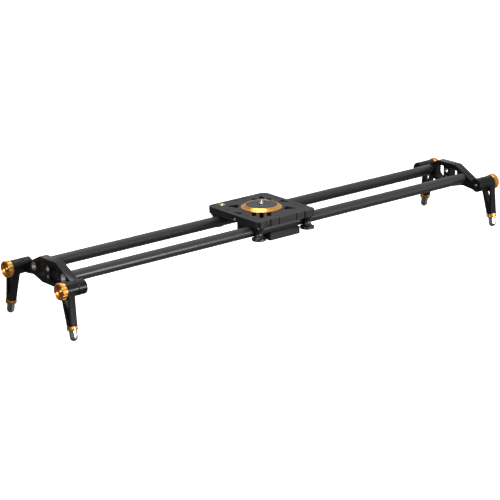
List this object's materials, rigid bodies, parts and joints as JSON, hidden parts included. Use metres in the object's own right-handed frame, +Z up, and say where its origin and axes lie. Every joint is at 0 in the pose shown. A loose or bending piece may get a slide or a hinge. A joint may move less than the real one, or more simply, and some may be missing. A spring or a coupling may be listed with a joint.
{
  "type": "camera slider",
  "caption": "Desk-height camera slider: a plate on grooved rollers runs along twin carbon tubes between end brackets with folding legs and screw feet.",
  "frame": {"origin": "on the ground under the middle of the track, halfway between the tubes", "axes": "+X along the tubes, +Y across the track, +Z up"},
  "size_m": [1.006, 0.2028, 0.1292],
  "materials": {
    "carbon_tube": "woven carbon fibre under a satin clear coat",
    "black_aluminium": "satin black anodised",
    "plate_aluminium": "fine blasted, dark grey anodised",
    "gold_aluminium": "gold orange anodised, turned",
    "plain_aluminium": "turned, bright",
    "bright_steel": "zinc plated, bright",
    "black_steel": "black oxide",
    "bearing_steel": "ground",
    "chrome_foot": "polished",
    "roller_nylon": "gloss black, turned",
    "black_nylon": "matte",
    "rubber_pad": "fine ribbed matte",
    "brass_bezel": "bright",
    "vial_liquid": "clear yellow green liquid with a bubble"
  },
  "bodies": {
    "root": {"front_tube": "carbon_tube", "rear_tube": "carbon_tube", "left_bracket": "black_aluminium", "left_tube_plugs": "plain_aluminium", "left_clamp_screws": "black_steel", "left_leg_washers": "black_nylon", "right_bracket": "black_aluminium", "right_tube_plugs": "plain_aluminium", "right_clamp_screws": "black_steel", "right_leg_washers": "black_nylon"},
    "carriage": {"carriage_plate": "plate_aluminium", "seat_ring": "gold_aluminium", "seat_disc": "black_aluminium", "seat_pad": "rubber_pad", "level_housing": "brass_bezel", "level_vial": "vial_liquid", "plate_screws": "bright_steel", "side_screws": "bright_steel", "roller_axles": "bright_steel", "axle_nuts": "bright_steel", "brake_posts": "bright_steel"},
    "roller_front_left": {"roller_front_left": "roller_nylon", "roller_bearings_front_left": "bearing_steel"},
    "leg_front_left": {"leg_front_left": "black_aluminium"},
    "knob_front_left": {"knob_front_left": "gold_aluminium", "knob_bolt_front_left": "bright_steel"},
    "foot_front_left": {"foot_front_left": "chrome_foot"},
    "foot_nut_front_left": {"foot_nut_front_left": "gold_aluminium"},
    "roller_rear_left": {"roller_rear_left": "roller_nylon", "roller_bearings_rear_left": "bearing_steel"},
    "leg_rear_left": {"leg_rear_left": "black_aluminium"},
    "knob_rear_left": {"knob_rear_left": "gold_aluminium", "knob_bolt_rear_left": "bright_steel"},
    "foot_rear_left": {"foot_rear_left": "chrome_foot"},
    "foot_nut_rear_left": {"foot_nut_rear_left": "gold_aluminium"},
    "roller_front_right": {"roller_front_right": "roller_nylon", "roller_bearings_front_right": "bearing_steel"},
    "leg_front_right": {"leg_front_right": "black_aluminium"},
    "knob_front_right": {"knob_front_right": "gold_aluminium", "knob_bolt_front_right": "bright_steel"},
    "foot_front_right": {"foot_front_right": "chrome_foot"},
    "foot_nut_front_right": {"foot_nut_front_right": "gold_aluminium"},
    "roller_rear_right": {"roller_rear_right": "roller_nylon", "roller_bearings_rear_right": "bearing_steel"},
    "leg_rear_right": {"leg_rear_right": "black_aluminium"},
    "knob_rear_right": {"knob_rear_right": "gold_aluminium", "knob_bolt_rear_right": "bright_steel"},
    "foot_rear_right": {"foot_rear_right": "chrome_foot"},
    "foot_nut_rear_right": {"foot_nut_rear_right": "gold_aluminium"},
    "camera_screw": {"camera_screw": "bright_steel", "screw_wheel": "black_aluminium"},
    "brake_bar": {"brake_bar": "black_aluminium", "brake_pads": "rubber_pad"},
    "brake_wheel": {"brake_screw": "bright_steel", "brake_wheel": "black_aluminium"}
  },
  "joints": [
    {"name": "carriage_slide", "type": "slide", "parent": "root", "child": "carriage", "axis": [1, 0, 0], "range_m": [-0.374, 0.393]},
    {"name": "roller_spin_front_left", "type": "hinge", "parent": "carriage", "child": "roller_front_left", "pos_m": [-0.0655, -0.06, 0.09096], "axis": [0, 0, 1], "continuous": true},
    {"name": "leg_fold_front_left", "type": "hinge", "parent": "root", "child": "leg_front_left", "pos_m": [-0.4865, -0.0795, 0.08396], "axis": [-1, 0, 0], "range_deg": [-55, 150]},
    {"name": "knob_turn_front_left", "type": "hinge", "parent": "root", "child": "knob_front_left", "pos_m": [-0.503, -0.0795, 0.08396], "axis": [-1, 0, 0], "range_deg": [0, 360]},
    {"name": "foot_extend_front_left", "type": "slide", "parent": "leg_front_left", "child": "foot_front_left", "axis": [0, -0.184, -0.9829], "range_m": [0, 0.007]},
    {"name": "foot_nut_turn_front_left", "type": "hinge", "parent": "leg_front_left", "child": "foot_nut_front_left", "pos_m": [-0.4865, -0.09113, 0.02179], "axis": [0, -0.184, -0.9829], "range_deg": [0, 360]},
    {"name": "roller_spin_rear_left", "type": "hinge", "parent": "carriage", "child": "roller_rear_left", "pos_m": [-0.0655, 0.06, 0.09096], "axis": [0, 0, 1], "continuous": true},
    {"name": "leg_fold_rear_left", "type": "hinge", "parent": "root", "child": "leg_rear_left", "pos_m": [-0.4865, 0.0795, 0.08396], "axis": [1, 0, 0], "range_deg": [-55, 150]},
    {"name": "knob_turn_rear_left", "type": "hinge", "parent": "root", "child": "knob_rear_left", "pos_m": [-0.503, 0.0795, 0.08396], "axis": [-1, 0, 0], "range_deg": [0, 360]},
    {"name": "foot_extend_rear_left", "type": "slide", "parent": "leg_rear_left", "child": "foot_rear_left", "axis": [0, 0.184, -0.9829], "range_m": [0, 0.007]},
    {"name": "foot_nut_turn_rear_left", "type": "hinge", "parent": "leg_rear_left", "child": "foot_nut_rear_left", "pos_m": [-0.4865, 0.09113, 0.02179], "axis": [0, 0.184, -0.9829], "range_deg": [0, 360]},
    {"name": "roller_spin_front_right", "type": "hinge", "parent": "carriage", "child": "roller_front_right", "pos_m": [0.0465, -0.06, 0.09096], "axis": [0, 0, 1], "continuous": true},
    {"name": "leg_fold_front_right", "type": "hinge", "parent": "root", "child": "leg_front_right", "pos_m": [0.4865, -0.0795, 0.08396], "axis": [-1, 0, 0], "range_deg": [-55, 150]},
    {"name": "knob_turn_front_right", "type": "hinge", "parent": "root", "child": "knob_front_right", "pos_m": [0.503, -0.0795, 0.08396], "axis": [1, 0, 0], "range_deg": [0, 360]},
    {"name": "foot_extend_front_right", "type": "slide", "parent": "leg_front_right", "child": "foot_front_right", "axis": [0, -0.184, -0.9829], "range_m": [0, 0.007]},
    {"name": "foot_nut_turn_front_right", "type": "hinge", "parent": "leg_front_right", "child": "foot_nut_front_right", "pos_m": [0.4865, -0.09113, 0.02179], "axis": [0, -0.184, -0.9829], "range_deg": [0, 360]},
    {"name": "roller_spin_rear_right", "type": "hinge", "parent": "carriage", "child": "roller_rear_right", "pos_m": [0.0465, 0.06, 0.09096], "axis": [0, 0, 1], "continuous": true},
    {"name": "leg_fold_rear_right", "type": "hinge", "parent": "root", "child": "leg_rear_right", "pos_m": [0.4865, 0.0795, 0.08396], "axis": [1, 0, 0], "range_deg": [-55, 150]},
    {"name": "knob_turn_rear_right", "type": "hinge", "parent": "root", "child": "knob_rear_right", "pos_m": [0.503, 0.0795, 0.08396], "axis": [1, 0, 0], "range_deg": [0, 360]},
    {"name": "foot_extend_rear_right", "type": "slide", "parent": "leg_rear_right", "child": "foot_rear_right", "axis": [0, 0.184, -0.9829], "range_m": [0, 0.007]},
    {"name": "foot_nut_turn_rear_right", "type": "hinge", "parent": "leg_rear_right", "child": "foot_nut_rear_right", "pos_m": [0.4865, 0.09113, 0.02179], "axis": [0, 0.184, -0.9829], "range_deg": [0, 360]},
    {"name": "camera_screw_turn", "type": "hinge", "parent": "carriage", "child": "camera_screw", "pos_m": [-0.0095, 0, 0.12016], "axis": [0, 0, 1], "continuous": true},
    {"name": "brake_lift", "type": "slide", "parent": "carriage", "child": "brake_bar", "axis": [0, 0, 1], "range_m": [0, 0.001]},
    {"name": "brake_wheel_turn", "type": "hinge", "parent": "brake_bar", "child": "brake_wheel", "pos_m": [0.0215, 0, 0.06516], "axis": [0, 0, 1], "range_deg": [-1, 290]}
  ],
  "couplings": [
    {"joint": "roller_spin_front_left", "follows": "carriage_slide", "rad_per_m": 153.85},
    {"joint": "roller_spin_rear_left", "follows": "carriage_slide", "rad_per_m": -153.85},
    {"joint": "roller_spin_front_right", "follows": "carriage_slide", "rad_per_m": 153.85},
    {"joint": "roller_spin_rear_right", "follows": "carriage_slide", "rad_per_m": -153.85},
    {"joint": "brake_wheel_turn", "follows": "brake_lift", "rad_per_m": 5026.6}
  ]
}
